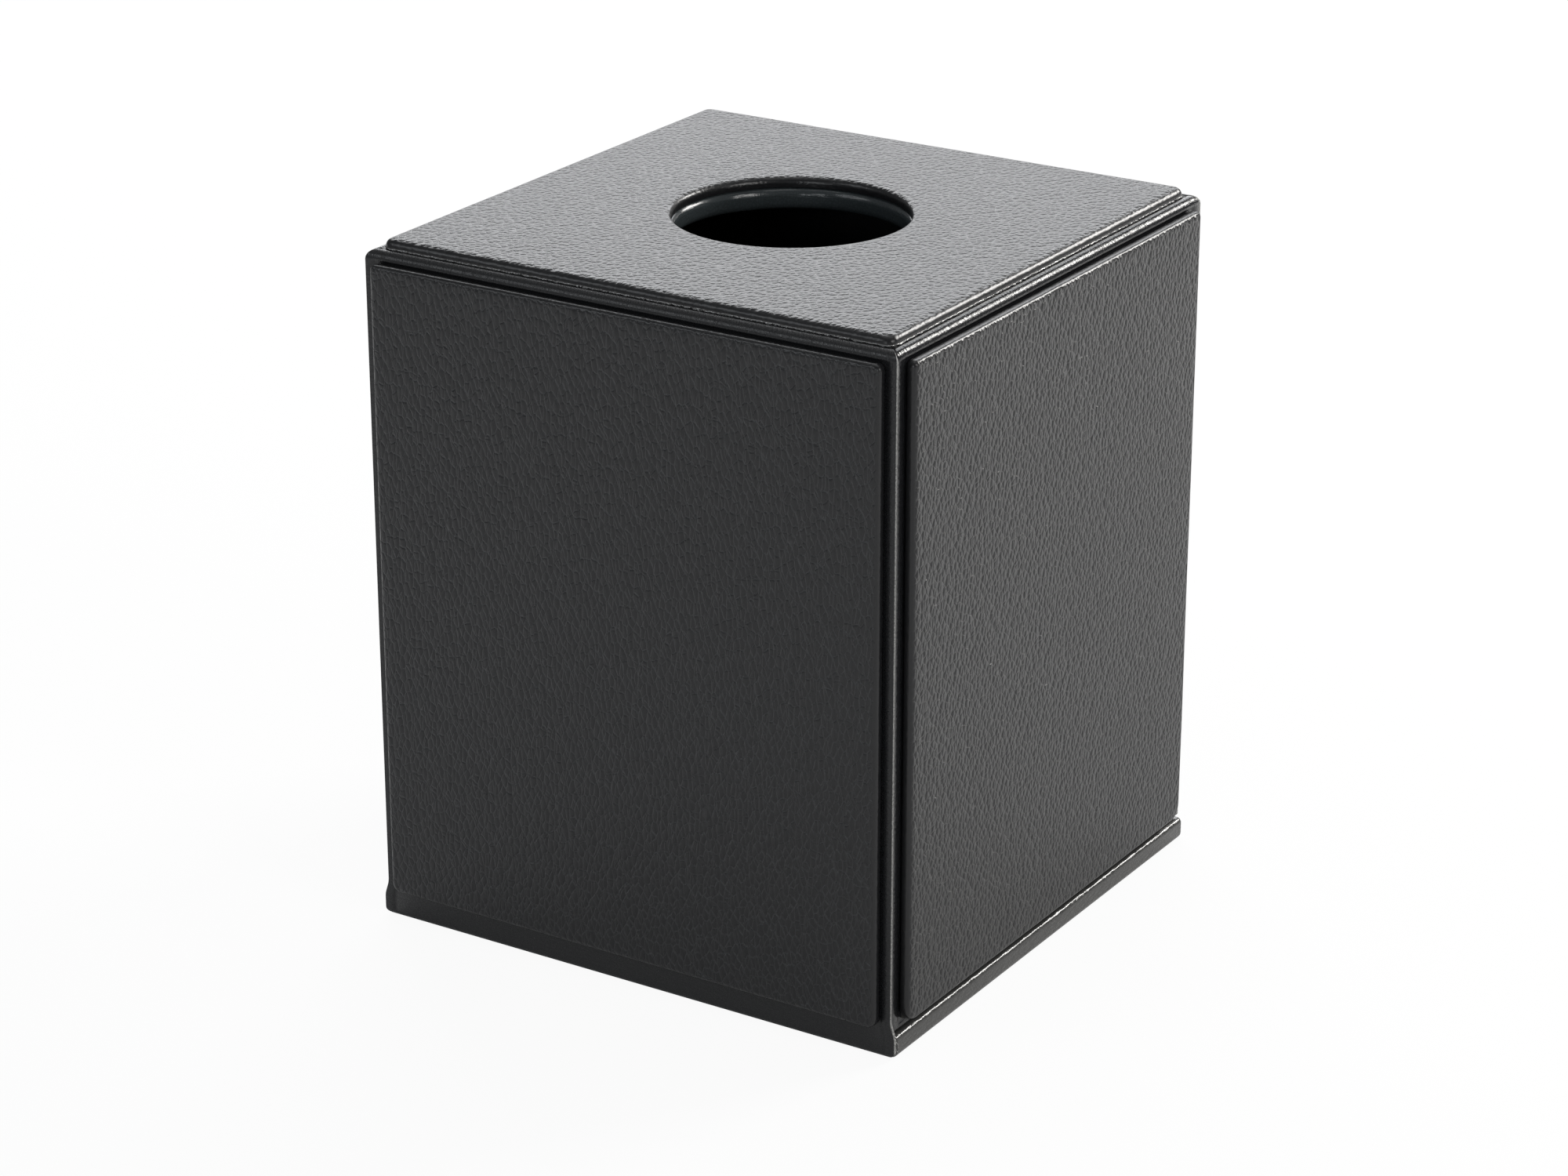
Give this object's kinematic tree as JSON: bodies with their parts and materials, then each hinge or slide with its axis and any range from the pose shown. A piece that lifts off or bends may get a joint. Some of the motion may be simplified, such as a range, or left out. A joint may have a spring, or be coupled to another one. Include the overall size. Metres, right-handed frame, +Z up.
{
  "type": "tissue box cover",
  "caption": "Square leather-covered cover for a cube carton of tissues, with raised padded panels, a round dispensing hole in the top and a base flap on a leather hinge.",
  "frame": {"origin": "on the floor under the middle of the cover", "axes": "+Z up, the front face with the hinge looks along -Y, +X to the viewer's right"},
  "size_m": [0.131, 0.131, 0.1522],
  "materials": {
    "grained_leather": "black faux leather with a fine pebble grain, satin",
    "smooth_leather": "black faux leather stretched smooth over the edges, satin",
    "lining": "black suede-like lining, matt",
    "board": "grey board, uncoated",
    "pad": "thin foam sheet",
    "magnet": "nickel-plated bar magnet"
  },
  "bodies": {
    "base": {"base_board": "board", "base_leather": "smooth_leather", "base_lining": "lining", "base_magnets": "magnet", "hinge_leather": "smooth_leather"},
    "box": {"front_wall_board": "board", "front_wall_leather": "smooth_leather", "front_wall_lining": "lining", "front_panel_board": "board", "front_panel_pad": "pad", "front_panel_leather": "grained_leather", "right_wall_board": "board", "right_wall_leather": "smooth_leather", "right_wall_lining": "lining", "right_panel_board": "board", "right_panel_pad": "pad", "right_panel_leather": "grained_leather", "back_wall_board": "board", "back_wall_leather": "smooth_leather", "back_wall_lining": "lining", "back_panel_board": "board", "back_panel_pad": "pad", "back_panel_leather": "grained_leather", "left_wall_board": "board", "left_wall_leather": "smooth_leather", "left_wall_lining": "lining", "left_panel_board": "board", "left_panel_pad": "pad", "left_panel_leather": "grained_leather", "top_board": "board", "top_infill_card": "board", "top_lining": "lining", "hole_collar": "smooth_leather", "top_panel_board": "board", "top_panel_pad": "pad", "top_panel_leather": "grained_leather", "wall_magnets": "magnet"}
  },
  "joints": [
    {"name": "base_hinge", "type": "hinge", "parent": "base", "child": "box", "pos_m": [0, -0.0622, 0.005], "axis": [1, 0, 0], "range_deg": [0, 90], "deforming": ["hinge_leather"]}
  ]
}
